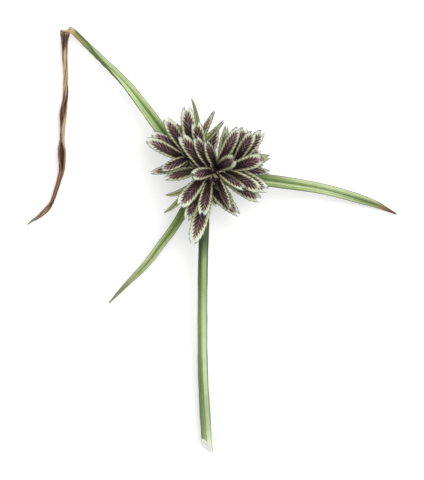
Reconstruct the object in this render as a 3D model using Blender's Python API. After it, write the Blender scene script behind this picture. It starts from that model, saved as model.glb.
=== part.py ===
"""A cut flowering stem of a sedge, laid on a flat surface.

The stem, or culm, lies along Y with its cut end at -Y. Three long leafy bracts and three small ones leave its
top, one of the long ones folded over and withered, and above them a dense head of flat spikelets stands on four
short rays. All lengths in the tables are millimetres, with the origin at the middle of the overall box, on the
surface the stem lies on.
"""

from math import cos, pi, radians, sin

import bmesh
import bpy
import numpy as np
from mathutils import Vector

MM = 0.001

# Edges sharper than this many degrees stay crisp in the shading
SHARP_ANGLE = 40

# Driving dimensions of the culm: its radius, how far its three corners stand out, and where the first one is
CULM_RADIUS = 1.34
CULM_CORNER = 0.09
CULM_TURN = 62
CULM_SIDES = 12
CULM_PATH = (
    (-1.05, -54.5, 1.32),
    (-1.55, -48.0, 1.55),
    (-2.0, -41.0, 2.1),
    (-2.4, -32.0, 3.0),
    (-2.5, -20.0, 4.4),
    (-2.4, -8.0, 5.8),
    (-2.1, 3.0, 7.0),
    (-1.8, 14.3, 8.0),
)
CULM_GIRTH = (1.0, 1.02, 1.02, 0.98, 0.95, 0.96, 0.98, 0.9)
CUT_POINT = (-1.1, -51.6, 1.4)
CUT_NORMAL = (-0.52, -0.62, 0.52)

# Driving dimensions of a leaf blade: its thickness, how thin it gets where it is narrow, and how far its edges
# stand above its keel, as a share of its width
BLADE_THICK = 0.42
BLADE_TIP_THICK = 0.08
BLADE_TAPER = 0.55
BLADE_FOLD = 0.24

# Driving dimensions of the rays and the knobs at their ends
KNOB_RADIUS = 0.75
KNOB_RINGS = (-40, 0, 40, 75)
RAY_RADIUS = 0.38
RAY_SIDES = 8

# Driving dimensions of a spikelet: its stalk, the gap under the stalk, its thickness and the width from which it
# has that thickness, and the teeth along its edges
STALK_RADIUS = 0.18
STALK_GAP = 0.1
SPIKELET_THICK = 1.1
FULL_WIDTH = 2.8
TEETH = 8
TOOTH_DEPTH = 0.24
TOOTH_LEAN = 0.25

# A spikelet's half width and half thickness from its foot at 0 to its tip at 1, as shares of the largest
OUTLINE_AT = (0.0, 0.08, 0.2, 0.4, 0.62, 0.8, 0.92, 1.0)
OUTLINE = (0.14, 0.44, 0.78, 1.0, 1.0, 0.8, 0.54, 0.12)
DEPTH_AT = (0.0, 0.12, 0.3, 0.65, 0.88, 1.0)
DEPTH = (0.4, 0.7, 1.0, 0.9, 0.5, 0.16)

# Each ray: its foot at the top of the culm, and the middle of the knob that its spikelets stand on
RAYS = {
    "front": ((-1.0, 15.1, 8.9), (0.9, 17.6, 13.3)),
    "left": ((-2.6, 14.9, 7.9), (-5.0, 20.4, 10.2)),
    "right": ((-1.1, 14.8, 7.9), (5.1, 18.6, 10.4)),
    "lower": ((-2.1, 14.0, 9.6), (-0.7, 15.6, 11.9)),
}

# Each spikelet: its ray, the foot and the tip of its body, its width, and how far it is turned on its own axis
SPIKELETS = {
    "upper_1": ("left", (-6.5, 20.1, 10.6), (-16.6, 25.2, 12.4), 3.3, 0),
    "upper_2": ("left", (-6.1, 21.8, 9.7), (-15.3, 26.8, 8.6), 2.8, 0),
    "upper_3": ("left", (-6.4, 21.7, 10.4), (-11.8, 30.6, 11.0), 3.2, 4),
    "upper_4": ("left", (-5.1, 21.9, 9.6), (-8.4, 29.6, 8.2), 2.8, -10),
    "upper_5": ("left", (-5.3, 22.1, 11.8), (-6.4, 33.6, 12.4), 3.8, 0),
    "upper_6": ("front", (-2.4, 20.9, 12.9), (-4.2, 29.9, 14.8), 3.4, 5),
    "upper_7": ("left", (-4.5, 22.0, 10.0), (0.75, 32.4, 8.8), 2.1, -25),
    "upper_8": ("left", (-3.5, 22.6, 11.2), (3.4, 30.1, 13.8), 1.6, 0),
    "upper_9": ("front", (-1.9, 17.7, 13.5), (-8.1, 26.5, 16.4), 3.6, -8),
    "upper_10": ("front", (-0.5, 18.3, 14.1), (-4.4, 26.1, 18.0), 3.2, 4),
    "upper_11": ("front", (0.7, 18.6, 14.3), (-1.9, 25.1, 19.4), 3.2, 28),
    "upper_12": ("front", (-1.6, 20.0, 11.5), (1.4, 28.4, 11.3), 3.3, -10),
    "left_1": ("left", (-6.0, 20.4, 11.7), (-13.3, 17.2, 12.6), 2.9, 10),
    "left_2": ("left", (-6.0, 19.2, 10.3), (-15.7, 16.6, 10.4), 2.7, -5),
    "left_3": ("front", (-3.6, 17.6, 10.9), (-12.2, 15.1, 8.2), 3.3, -5),
    "centre_1": ("front", (0.3, 17.1, 14.6), (-5.4, 15.9, 20.4), 3.3, 0),
    "centre_2": ("front", (1.5, 18.0, 14.6), (6.0, 20.3, 22.2), 3.8, 0),
    "right_1": ("front", (1.6, 18.8, 13.6), (6.8, 28.4, 17.2), 3.4, 6),
    "right_2": ("front", (2.2, 19.0, 12.5), (3.6, 28.8, 12.4), 2.6, -10),
    "right_3": ("right", (5.4, 19.8, 10.6), (8.3, 28.3, 10.2), 3.4, -10),
    "right_4": ("right", (5.8, 19.5, 11.3), (10.5, 27.2, 14.2), 3.3, 8),
    "right_5": ("right", (6.3, 19.2, 10.2), (12.9, 27.4, 9.6), 3.4, 10),
    "right_6": ("right", (4.9, 18.0, 12.4), (13.0, 20.4, 16.2), 3.9, 0),
    "right_7": ("right", (6.3, 18.9, 10.9), (14.9, 20.8, 12.4), 3.2, 0),
    "right_8": ("right", (6.3, 17.6, 9.7), (14.9, 16.9, 9.0), 2.5, 0),
    "right_9": ("right", (3.9, 17.0, 12.6), (12.4, 12.2, 14.6), 3.5, 0),
    "right_10": ("front", (1.6, 16.9, 13.9), (8.4, 12.3, 18.4), 3.2, -45),
    "right_11": ("lower", (2.6, 15.6, 10.9), (12.4, 9.7, 9.0), 3.3, 0),
    "right_12": ("right", (5.2, 17.6, 11.3), (14.1, 12.1, 11.7), 3.6, 0),
    "lower_1": ("lower", (-2.0, 15.8, 13.1), (-8.3, 8.0, 15.8), 4.0, 4),
    "lower_2": ("lower", (-2.2, 14.8, 12.4), (-6.5, 4.6, 11.4), 3.2, -10),
    "lower_3": ("lower", (-0.7, 14.6, 13.1), (-2.5, 5.7, 17.4), 3.4, 0),
    "lower_4": ("lower", (-0.5, 13.4, 12.5), (-4.9, -1.3, 13.4), 4.2, 4),
    "lower_5": ("lower", (-2.6, 13.7, 11.5), (-4.0, 3.4, 8.8), 2.8, 0),
    "lower_6": ("front", (1.3, 16.3, 13.1), (5.1, 6.8, 16.8), 3.2, 50),
    "lower_7": ("lower", (-0.3, 12.9, 11.1), (7.0, 5.8, 12.8), 3.7, 0),
    "lower_8": ("lower", (0.9, 14.7, 11.3), (4.6, 8.6, 10.2), 2.2, 0),
    "under_1": ("left", (-5.9, 19.8, 8.9), (-12.4, 17.2, 3.8), 2.6, -40),
    "under_2": ("right", (5.3, 18.9, 9.2), (6.8, 20.4, 0.9), 2.8, 0),
    "under_3": ("left", (-4.5, 21.3, 9.1), (-6.6, 28.2, 3.2), 3.0, 0),
    "under_4": ("left", (-3.9, 20.8, 9.4), (0.4, 26.8, 3.2), 3.0, 20),
    "under_5": ("right", (4.4, 19.7, 9.4), (3.2, 26.4, 3.0), 3.0, -10),
    "under_6": ("right", (5.6, 19.7, 9.4), (8.8, 25.4, 3.2), 3.0, 12),
    "under_7": ("right", (6.3, 19.0, 9.5), (12.2, 22.8, 3.8), 2.8, 0),
    "under_8": ("right", (6.1, 18.3, 9.0), (12.8, 18.6, 3.8), 2.8, 75),
    "under_9": ("lower", (1.4, 13.9, 9.4), (5.0, 9.0, 4.0), 2.4, 0),
    "under_10": ("lower", (0.1, 13.6, 10.2), (1.4, 8.2, 3.2), 2.4, -8),
}

# Leaf blades: points along the middle, the width there, and how far the blade is turned on its own axis
BRACT_RIGHT = (
    ((-0.3, 13.0, 7.4), 1.1, 0),
    ((3.4, 14.8, 7.1), 2.5, 0),
    ((8.5, 15.5, 6.8), 3.1, 6),
    ((14.0, 14.95, 6.2), 3.0, 8),
    ((18.5, 14.4, 5.3), 3.0, 8),
    ((23.0, 13.4, 4.4), 2.9, 8),
    ((27.5, 12.7, 3.4), 2.6, 6),
    ((32.0, 11.7, 2.5), 2.4, 6),
    ((36.5, 10.4, 1.7), 2.2, 4),
    ((41.0, 8.9, 0.9), 1.6, 2),
    ((44.0, 7.5, 0.55), 0.8, 0),
    ((46.1, 6.5, 0.33), 0.3, 0),
)
BRACT_LOWER_LEFT = (
    ((-3.8, 12.8, 7.2), 1.0, 0),
    ((-5.1, 10.3, 7.0), 2.0, 0),
    ((-6.8, 7.6, 6.4), 2.2, 0),
    ((-8.3, 5.0, 5.7), 2.1, 0),
    ((-10.3, 2.0, 4.8), 2.05, 0),
    ((-12.6, -1.0, 3.9), 1.95, 0),
    ((-14.8, -4.0, 3.0), 1.85, 0),
    ((-17.3, -7.0, 2.1), 1.65, 0),
    ((-20.3, -10.0, 1.3), 1.3, 0),
    ((-23.2, -13.0, 0.6), 0.8, 0),
    ((-25.7, -15.7, 0.33), 0.3, 0),
)
BRACT_FOLDED = (
    ((-3.3, 15.1, 7.2), 1.1, 0),
    ((-5.9, 19.2, 6.2), 2.0, 0),
    ((-8.9, 22.8, 6.0), 2.4, 0),
    ((-12.2, 26.8, 5.6), 2.8, 0),
    ((-16.3, 32.4, 5.0), 2.6, 0),
    ((-21.4, 39.0, 4.2), 2.1, 0),
    ((-27.3, 45.0, 3.2), 1.6, 10),
    ((-31.6, 49.2, 2.6), 1.4, 35),
    ((-33.9, 52.1, 2.3), 1.3, 70),
    ((-35.1, 53.2, 2.2), 1.1, 80),
    ((-36.3, 52.4, 1.9), 1.3, 60),
    ((-36.7, 50.6, 1.5), 1.9, 10),
    ((-36.9, 47.5, 1.2), 1.3, -20),
    ((-36.8, 42.0, 1.0), 1.2, -35),
    ((-36.8, 36.5, 1.0), 1.2, 20),
    ((-37.3, 31.5, 0.9), 1.7, 5),
    ((-37.6, 27.0, 0.9), 1.1, 40),
    ((-37.7, 23.5, 0.9), 1.3, 30),
    ((-37.6, 20.0, 0.9), 1.7, 10),
    ((-37.7, 16.5, 0.9), 1.2, -25),
    ((-38.8, 13.0, 0.8), 1.0, -10),
    ((-40.3, 9.6, 0.8), 0.9, 20),
    ((-41.9, 7.2, 0.8), 1.5, 30),
    ((-44.2, 5.2, 0.5), 0.8, 10),
    ((-46.2, 4.1, 0.36), 0.3, 0),
)
BRACT_SMALL = (
    ((-2.1, 15.3, 6.7), 0.7, 0),
    ((-2.6, 21.0, 5.0), 1.3, 0),
    ((-3.5, 28.5, 5.2), 1.2, 10),
    ((-4.3, 32.6, 6.0), 0.8, 20),
    ((-5.1, 35.2, 6.4), 0.25, 20),
)
BRACTLET_UPPER = (
    ((-3.9, 14.6, 8.6), 0.6, 0),
    ((-7.2, 12.3, 8.4), 1.4, 0),
    ((-9.8, 11.4, 8.0), 0.95, 0),
    ((-11.5, 11.2, 7.8), 0.25, 0),
)
BRACTLET_LOWER = (
    ((-3.7, 14.2, 6.7), 0.6, 0),
    ((-7.0, 10.9, 6.3), 1.4, 0),
    ((-9.9, 8.2, 5.7), 1.05, 0),
    ((-11.9, 6.8, 5.3), 0.25, 0),
)

CULM_GREEN = (0.37, 0.46, 0.24)
LEAF_GREEN = (0.33, 0.42, 0.20)
HEAD_BROWN = (0.09, 0.04, 0.05)


def material(name, colour, roughness):
    made = bpy.data.materials.new(name)
    made.use_nodes = True
    shader = made.node_tree.nodes["Principled BSDF"]
    shader.inputs["Base Color"].default_value = (*colour, 1.0)
    shader.inputs["Roughness"].default_value = roughness
    shader.inputs["Metallic"].default_value = 0.0
    return made


def lofted(name, rings, finish):
    """One closed body: rings of points joined side by side, with a fan over each end."""
    mesh = bmesh.new()
    rows = [[mesh.verts.new(Vector(p) * MM) for p in ring] for ring in rings]
    count = len(rows[0])
    for low, high in zip(rows, rows[1:]):
        for i in range(count):
            j = (i + 1) % count
            mesh.faces.new((low[i], low[j], high[j], high[i]))
    mesh.faces.new(rows[0][::-1])
    mesh.faces.new(rows[-1])
    bmesh.ops.recalc_face_normals(mesh, faces=mesh.faces)
    bmesh.ops.triangulate(mesh, faces=mesh.faces)
    data = bpy.data.meshes.new(name)
    mesh.to_mesh(data)
    mesh.free()
    data.shade_smooth()
    data.set_sharp_from_angle(angle=radians(SHARP_ANGLE))
    data.materials.append(finish)
    made = bpy.data.objects.new(name, data)
    bpy.context.collection.objects.link(made)
    return made


def smooth_run(points, steps):
    """Points read from one smooth curve through the given ones, steps to each span."""
    p = np.array(points, float)
    ends = np.vstack([2 * p[0] - p[1], p, 2 * p[-1] - p[-2]])
    run = []
    for a, b, c, d in zip(ends, ends[1:], ends[2:], ends[3:]):
        for t in np.arange(steps) / steps:
            run.append(
                0.5
                * (
                    2 * b
                    + (c - a) * t
                    + (2 * a - 5 * b + 4 * c - d) * t**2
                    + (3 * b - a - 3 * c + d) * t**3
                )
            )
    run.append(p[-1])
    return np.array(run)


def directions(run):
    ahead = np.gradient(run, axis=0)
    return ahead / np.linalg.norm(ahead, axis=1)[:, None]


def turned(vector, axis, degrees):
    a = radians(degrees)
    return (
        vector * cos(a)
        + np.cross(axis, vector) * sin(a)
        + axis * np.dot(axis, vector) * (1 - cos(a))
    )


def culm(finish):
    """A rounded three-sided rod along its path, cut off on a slant at the foot."""
    run = smooth_run([(*p, g) for p, g in zip(CULM_PATH, CULM_GIRTH)], 2)
    rings = []
    for (x, y, z, girth), ahead in zip(run, directions(run[:, :3])):
        side = np.cross(ahead, (0.0, 0.0, 1.0))
        side /= np.linalg.norm(side)
        up = np.cross(side, ahead)
        ring = []
        for k in range(CULM_SIDES):
            angle = 2 * pi * k / CULM_SIDES
            radius = CULM_RADIUS * girth * (1 + CULM_CORNER * cos(3 * (angle - radians(CULM_TURN))))
            ring.append(np.array((x, y, z)) + radius * (cos(angle) * side + sin(angle) * up))
        rings.append(ring)
    rod = lofted("culm", rings, finish)
    mesh = bmesh.new()
    mesh.from_mesh(rod.data)
    cut = bmesh.ops.bisect_plane(
        mesh,
        geom=mesh.verts[:] + mesh.edges[:] + mesh.faces[:],
        plane_co=Vector(CUT_POINT) * MM,
        plane_no=Vector(CUT_NORMAL),
        clear_outer=True,
    )
    rim = [e for e in cut["geom_cut"] if isinstance(e, bmesh.types.BMEdge)]
    bmesh.ops.edgeloop_fill(mesh, edges=rim)
    bmesh.ops.recalc_face_normals(mesh, faces=mesh.faces)
    bmesh.ops.triangulate(mesh, faces=mesh.faces)
    mesh.to_mesh(rod.data)
    mesh.free()
    rod.data.shade_smooth()
    rod.data.set_sharp_from_angle(angle=radians(SHARP_ANGLE))
    return rod


def blade(name, stations, finish, steps=2):
    """A leaf blade, shallow V in section, along a smooth curve."""
    run = smooth_run([(*point, width, turn) for point, width, turn in stations], steps)
    rings = []
    for (x, y, z, width, turn), ahead in zip(run, directions(run[:, :3])):
        middle = np.array((x, y, z))
        side = np.cross(ahead, (0.0, 0.0, 1.0))
        side = turned(side / np.linalg.norm(side), ahead, turn)
        up = np.cross(side, ahead)
        edge = 0.5 * width * side
        rise = BLADE_FOLD * width * up
        thick = min(BLADE_THICK, BLADE_TIP_THICK + BLADE_TAPER * width)
        top = [middle - edge + rise, middle, middle + edge + rise]
        rings.append(top + [p - thick * up for p in top[::-1]])
    return lofted(name, rings, finish)


def ray(name, foot, knob, finish):
    """A short stalk that swells into the knob its spikelets stand on."""
    foot = np.array(foot, float)
    knob = np.array(knob, float)
    ahead = (knob - foot) / np.linalg.norm(knob - foot)
    side = np.cross(ahead, (1.0, 0.0, 0.0))
    side /= np.linalg.norm(side)
    other = np.cross(ahead, side)
    length = np.linalg.norm(knob - foot)
    profile = [(0.0, RAY_RADIUS), (length - 0.95 * KNOB_RADIUS, RAY_RADIUS)]
    for degrees in KNOB_RINGS:
        a = radians(degrees)
        profile.append((length + KNOB_RADIUS * sin(a), KNOB_RADIUS * cos(a)))
    rings = []
    for along, radius in profile:
        around = [2 * pi * k / RAY_SIDES for k in range(RAY_SIDES)]
        middle = foot + along * ahead
        rings.append([middle + radius * (cos(a) * side + sin(a) * other) for a in around])
    return lofted(name, rings, finish)


def axes_of(foot, tip, turn):
    """A spikelet's own directions: along it, across its width, and out of its flat face."""
    along = (tip - foot) / np.linalg.norm(tip - foot)
    wide = np.cross(along, (0.0, 0.0, 1.0))
    wide = turned(wide / np.linalg.norm(wide), along, turn)
    return along, wide, np.cross(wide, along)


def spikelet(name, knob, foot, tip, width, turn, finish):
    """A flat, pointed body of two rows of scales on a thin stalk from its knob, toothed where the scales end."""
    knob, foot, tip = (np.array(point, float) for point in (knob, foot, tip))
    along, wide, out = axes_of(foot, tip, turn)
    length = np.linalg.norm(tip - foot)
    reach = (foot - knob) / np.linalg.norm(foot - knob)
    start = knob + (KNOB_RADIUS + STALK_GAP) * reach
    across = wide - np.dot(wide, reach) * reach
    across *= STALK_RADIUS / np.linalg.norm(across)
    above = np.cross(across, reach)
    rings = [[start - across, start + above, start + across, start - above]]
    stations = 2 * TEETH
    full = SPIKELET_THICK * min(1.0, width / FULL_WIDTH)
    for k in range(stations + 1):
        t = k / stations
        middle = foot + t * length * along
        half = 0.5 * width * np.interp(t, OUTLINE_AT, OUTLINE) * wide
        thick = 0.5 * full * np.interp(t, DEPTH_AT, DEPTH) * out
        inner = (1 - TOOTH_DEPTH) * half
        lean = np.zeros(3)
        if 0 < k < stations:
            lean = TOOTH_LEAN * length / stations * along
        left, right = (half - lean, inner) if k % 2 else (inner, half + lean)
        rings.append([middle - left, middle + thick, middle + right, middle - thick])
    return lofted(name, rings, finish)


def main():
    for old in list(bpy.data.objects):
        bpy.data.objects.remove(old, do_unlink=True)
    stem_green = material("stem_green", CULM_GREEN, 0.5)
    leaf_green = material("leaf_green", LEAF_GREEN, 0.55)
    head_brown = material("head_brown", HEAD_BROWN, 0.6)
    culm(stem_green)
    blade("bract_right", BRACT_RIGHT, leaf_green)
    blade("bract_lower_left", BRACT_LOWER_LEFT, leaf_green)
    blade("bract_folded", BRACT_FOLDED, leaf_green)
    blade("bract_small", BRACT_SMALL, leaf_green)
    blade("bractlet_upper", BRACTLET_UPPER, leaf_green)
    blade("bractlet_lower", BRACTLET_LOWER, leaf_green)
    for name, (foot, knob) in RAYS.items():
        ray(f"ray_{name}", foot, knob, stem_green)
    for name, (cluster, foot, tip, width, turn) in SPIKELETS.items():
        spikelet(f"spikelet_{name}", RAYS[cluster][1], foot, tip, width, turn, head_brown)


main()
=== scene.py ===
# %% [markdown]
# # A cut flowering stem of cyperus glaber
#
# This sedge grows in bogs and at the edge of garden ponds. One cut stem lies on a pale table: a three-sided
# green stem, long leafy bracts, one of them folded over and withered, and a dense head of flat spikelets.
# The packed model gives each piece its place and size. Every piece below is a fine mesh laid over its
# solid.

from math import cos, pi, radians, sin

import bmesh
import bpy
import numpy as np
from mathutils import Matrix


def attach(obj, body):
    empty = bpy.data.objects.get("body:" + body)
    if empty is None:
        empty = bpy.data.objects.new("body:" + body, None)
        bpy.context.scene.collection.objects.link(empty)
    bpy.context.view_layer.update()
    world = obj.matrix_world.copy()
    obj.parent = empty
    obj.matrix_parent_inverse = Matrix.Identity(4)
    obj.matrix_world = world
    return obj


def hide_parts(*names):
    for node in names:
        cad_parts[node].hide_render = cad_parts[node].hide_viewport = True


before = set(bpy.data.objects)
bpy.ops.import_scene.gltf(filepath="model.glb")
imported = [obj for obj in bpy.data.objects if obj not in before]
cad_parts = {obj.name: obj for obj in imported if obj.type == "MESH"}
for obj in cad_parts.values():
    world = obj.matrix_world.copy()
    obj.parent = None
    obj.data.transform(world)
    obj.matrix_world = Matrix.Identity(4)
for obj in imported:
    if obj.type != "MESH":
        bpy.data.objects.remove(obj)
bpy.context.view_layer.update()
MM = 0.001

# %% [markdown]
# ## Table, light and camera
#
# A plate in a plant book is drawn as if seen from straight above, with no shadows that matter. So the
# camera looks straight down from far away with a long lens, which keeps heights from shifting sideways. A
# bright even sky fills every hollow, and one wide lamp from the upper right gives the leaves paler and
# darker sides, which their finishes also carry as painted light and shade.

# %% Camera straight above
CAMERA_HEIGHT = 2.6
PICTURE_HEIGHT = 0.120
SENSOR = 36.0

lens = bpy.data.cameras.new("plate_camera")
lens.sensor_width = SENSOR
lens.lens = SENSOR * CAMERA_HEIGHT / PICTURE_HEIGHT
lens.clip_end = 20.0
camera = bpy.data.objects.new("plate_camera", lens)
camera.location = (0.0, 0.0, CAMERA_HEIGHT)
bpy.context.scene.collection.objects.link(camera)
bpy.context.scene.camera = camera
print("lens in millimetres:", round(lens.lens))

# %% Sky, lamp and table
SKY = 0.78
LAMP_POWER = 5.0
LAMP_SIZE = 0.7
LAMP_PLACE = (0.34, 0.36, 0.85)
TABLE_SIZE = 6.0
TABLE_WHITE = 0.75
TABLE_GLOW = 0.36

world = bpy.data.worlds.new("even_sky")
world.use_nodes = True
sky = world.node_tree.nodes["Background"].inputs
sky["Color"].default_value = (1.0, 1.0, 1.0, 1.0)
sky["Strength"].default_value = SKY
bpy.context.scene.world = world
bpy.context.scene.view_settings.view_transform = "Standard"

glow = bpy.data.lights.new("wide_lamp", "AREA")
glow.energy = LAMP_POWER
glow.size = LAMP_SIZE
lamp = bpy.data.objects.new("wide_lamp", glow)
lamp.location = LAMP_PLACE
lamp.rotation_euler = lamp.location.to_track_quat("Z", "Y").to_euler()
lamp.visible_camera = False
bpy.context.scene.collection.objects.link(lamp)

sheet = bpy.data.meshes.new("table")
half = TABLE_SIZE / 2
corners = [(-half, -half, 0), (half, -half, 0), (half, half, 0), (-half, half, 0)]
sheet.from_pydata(corners, [], [(0, 1, 2, 3)])
table = bpy.data.objects.new("table", sheet)
bpy.context.scene.collection.objects.link(table)
paper = bpy.data.materials.new("white_table")
paper.use_nodes = True
surface = paper.node_tree.nodes["Principled BSDF"].inputs
surface["Base Color"].default_value = (TABLE_WHITE, TABLE_WHITE, TABLE_WHITE, 1.0)
surface["Roughness"].default_value = 0.9
surface["Emission Color"].default_value = (1.0, 1.0, 1.0, 1.0)
surface["Emission Strength"].default_value = TABLE_GLOW
table.data.materials.append(paper)
print("lamp at", LAMP_PLACE)

# %% [markdown]
# ## Putting nodes on a bench
#
# Each finish is a small graph of shader nodes. Writing every link by hand hides the idea, so a bench holds
# one node tree and offers short verbs: read a value stored on the mesh, add or multiply two values, ease
# between two limits, mix two colours. The same bench builds the shared groups and the materials.


# %% A bench for shader nodes
def paint(red, green, blue):
    """A colour as a painter reads it, 0 to 255, turned into the linear one that the shader wants."""
    parts = []
    for part in (red / 255, green / 255, blue / 255):
        parts.append(part / 12.92 if part <= 0.04045 else ((part + 0.055) / 1.055) ** 2.4)
    return (*parts, 1.0)


class Bench:
    """One node tree, with a verb for each kind of node that the finishes need."""

    def __init__(self, tree):
        self.tree = tree

    def put(self, kind, **settings):
        node = self.tree.nodes.new(kind)
        for key, value in settings.items():
            setattr(node, key, value)
        return node

    def feed(self, socket, source):
        if isinstance(source, bpy.types.NodeSocket):
            self.tree.links.new(source, socket)
        else:
            socket.default_value = source

    def stored(self, name):
        return self.put("ShaderNodeAttribute", attribute_name=name).outputs["Fac"]

    def math(self, operation, first, second=0.0, clamp=False):
        node = self.put("ShaderNodeMath", operation=operation, use_clamp=clamp)
        self.feed(node.inputs[0], first)
        self.feed(node.inputs[1], second)
        return node.outputs[0]

    def plus(self, first, second, clamp=False):
        return self.math("ADD", first, second, clamp)

    def minus(self, first, second):
        return self.math("SUBTRACT", first, second)

    def times(self, first, second):
        return self.math("MULTIPLY", first, second)

    def size_of(self, source):
        return self.math("ABSOLUTE", source)

    def ease(self, source, low, high):
        """0 at low, 1 at high, and a smooth step between them. High may be the smaller one."""
        node = self.put("ShaderNodeMapRange", interpolation_type="SMOOTHSTEP")
        self.feed(node.inputs["Value"], source)
        first, last = (low, high) if low < high else (high, low)
        self.feed(node.inputs["From Min"], first)
        self.feed(node.inputs["From Max"], last)
        self.feed(node.inputs["To Min"], 0.0 if low < high else 1.0)
        self.feed(node.inputs["To Max"], 1.0 if low < high else 0.0)
        return node.outputs["Result"]

    def band(self, source, first_zero, first_one, last_one, last_zero):
        """1 in the middle of a band, easing to 0 at both its ends."""
        return self.times(self.ease(source, first_zero, first_one), self.ease(source, last_zero, last_one))

    def noise(self, where, scale, detail=2.0):
        node = self.put("ShaderNodeTexNoise")
        self.feed(node.inputs["Vector"], where)
        self.feed(node.inputs["Scale"], scale)
        self.feed(node.inputs["Detail"], detail)
        return node.outputs["Fac"]

    def mix(self, share, first, second):
        node = self.put("ShaderNodeMix", data_type="RGBA")
        self.feed(node.inputs["Factor"], share)
        colours = [socket for socket in node.inputs if socket.type == "RGBA"]
        self.feed(colours[0], first)
        self.feed(colours[1], second)
        return next(socket for socket in node.outputs if socket.type == "RGBA")

    def ramp(self, source, stops):
        node = self.put("ShaderNodeValToRGB")
        self.feed(node.inputs["Fac"], source)
        marks = node.color_ramp.elements
        marks[0].position, marks[0].color = stops[0]
        marks[1].position, marks[1].color = stops[-1]
        for place, colour in stops[1:-1]:
            mark = marks.new(place)
            mark.color = colour
        return node.outputs["Color"]

    def group(self, tree, output, **values):
        node = self.put("ShaderNodeGroup", node_tree=tree)
        for name, value in values.items():
            self.feed(node.inputs[name], value)
        return node.outputs[output]


print("bench verbs:", [verb for verb in vars(Bench) if verb[0] != "_"])


# %% A group with named sockets
def new_group(name, inputs, outputs):
    """A shader node group with named sockets, and the bench and end nodes to fill it with."""
    tree = bpy.data.node_groups.new(name, "ShaderNodeTree")
    for label, kind, value in inputs:
        socket = tree.interface.new_socket(label, in_out="INPUT", socket_type=kind)
        socket.default_value = value
    for label, kind in outputs:
        tree.interface.new_socket(label, in_out="OUTPUT", socket_type=kind)
    bench = Bench(tree)
    return bench, bench.put("NodeGroupInput").outputs, bench.put("NodeGroupOutput").inputs


# %% [markdown]
# ## Effects that several finishes share
#
# Sedge leaves, stems and scales all carry fine parallel nerves, and no living colour is quite even. Both
# effects are shader node groups with named sockets, made once. The nerves are a sine across the piece whose
# beat drifts a little, and the mottle is a slow noise that darkens and lightens a colour.

# %% Shared group: nerves
NUMBER, COLOUR = "NodeSocketFloat", "NodeSocketColor"
WAVER_SIZE = 220.0

bench, given, result = new_group(
    "parallel_nerves",
    [
        ("Across", NUMBER, 0.0),
        ("Count", NUMBER, 8.0),
        ("Drift", NUMBER, 0.3),
    ],
    [("Nerve", NUMBER)],
)
place = bench.put("ShaderNodeTexCoord").outputs["Object"]
drift = bench.times(bench.noise(place, WAVER_SIZE), given["Drift"])
lines_so_far = bench.plus(bench.times(given["Across"], given["Count"]), drift)
beat = bench.times(lines_so_far, 2 * pi)
wave = bench.times(bench.plus(bench.math("SINE", beat), 1.0), 0.5)
bench.feed(result["Nerve"], wave)
NERVES = bench.tree
print("group:", NERVES.name)

# %% Shared group: mottle
CLOUD_DETAIL = 4.0

bench, given, result = new_group(
    "living_mottle",
    [
        ("Colour", COLOUR, (0.5, 0.5, 0.5, 1.0)),
        ("Size", NUMBER, 400.0),
        ("Strength", NUMBER, 0.2),
    ],
    [("Colour", COLOUR), ("Value", NUMBER)],
)
place = bench.put("ShaderNodeTexCoord").outputs["Object"]
cloud = bench.noise(place, given["Size"], CLOUD_DETAIL)
swing = bench.times(bench.minus(cloud, 0.5), given["Strength"])
level = bench.plus(bench.times(swing, 2.0), 1.0)
tinted = bench.put("ShaderNodeVectorMath", operation="SCALE")
bench.feed(tinted.inputs[0], given["Colour"])
bench.feed(tinted.inputs["Scale"], level)
bench.feed(result["Colour"], tinted.outputs[0])
bench.feed(result["Value"], cloud)
MOTTLE = bench.tree
print("group:", MOTTLE.name)


# %% One way to finish every material
def finished(name, colour, height, bench, roughness, depth, gloss):
    """Links a colour and a height into the material's own Principled shader."""
    shader = bench.tree.nodes["Principled BSDF"]
    shader.inputs["Specular IOR Level"].default_value = gloss
    bench.feed(shader.inputs["Base Color"], colour)
    bench.feed(shader.inputs["Roughness"], roughness)
    bump = bench.put("ShaderNodeBump")
    bench.feed(bump.inputs["Height"], height)
    bench.feed(bump.inputs["Distance"], depth)
    bench.feed(shader.inputs["Normal"], bump.outputs["Normal"])
    print("finish:", name, "nodes:", len(bench.tree.nodes))
    return bpy.data.materials[name]


def new_material(name):
    made = bpy.data.materials.new(name)
    made.use_nodes = True
    return Bench(made.node_tree)


# %% [markdown]
# ## Meshes from rings
#
# A stem, a leaf and a scale are all long closed skins. Each is made as a run of rings, one after another
# along the piece, joined side by side and closed at both ends. Values such as how far a point is from the
# keel are kept on the mesh, so the finishes can follow the piece's own form.


# %% Skins from rings of points
SHARP_ABOVE = 50


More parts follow.
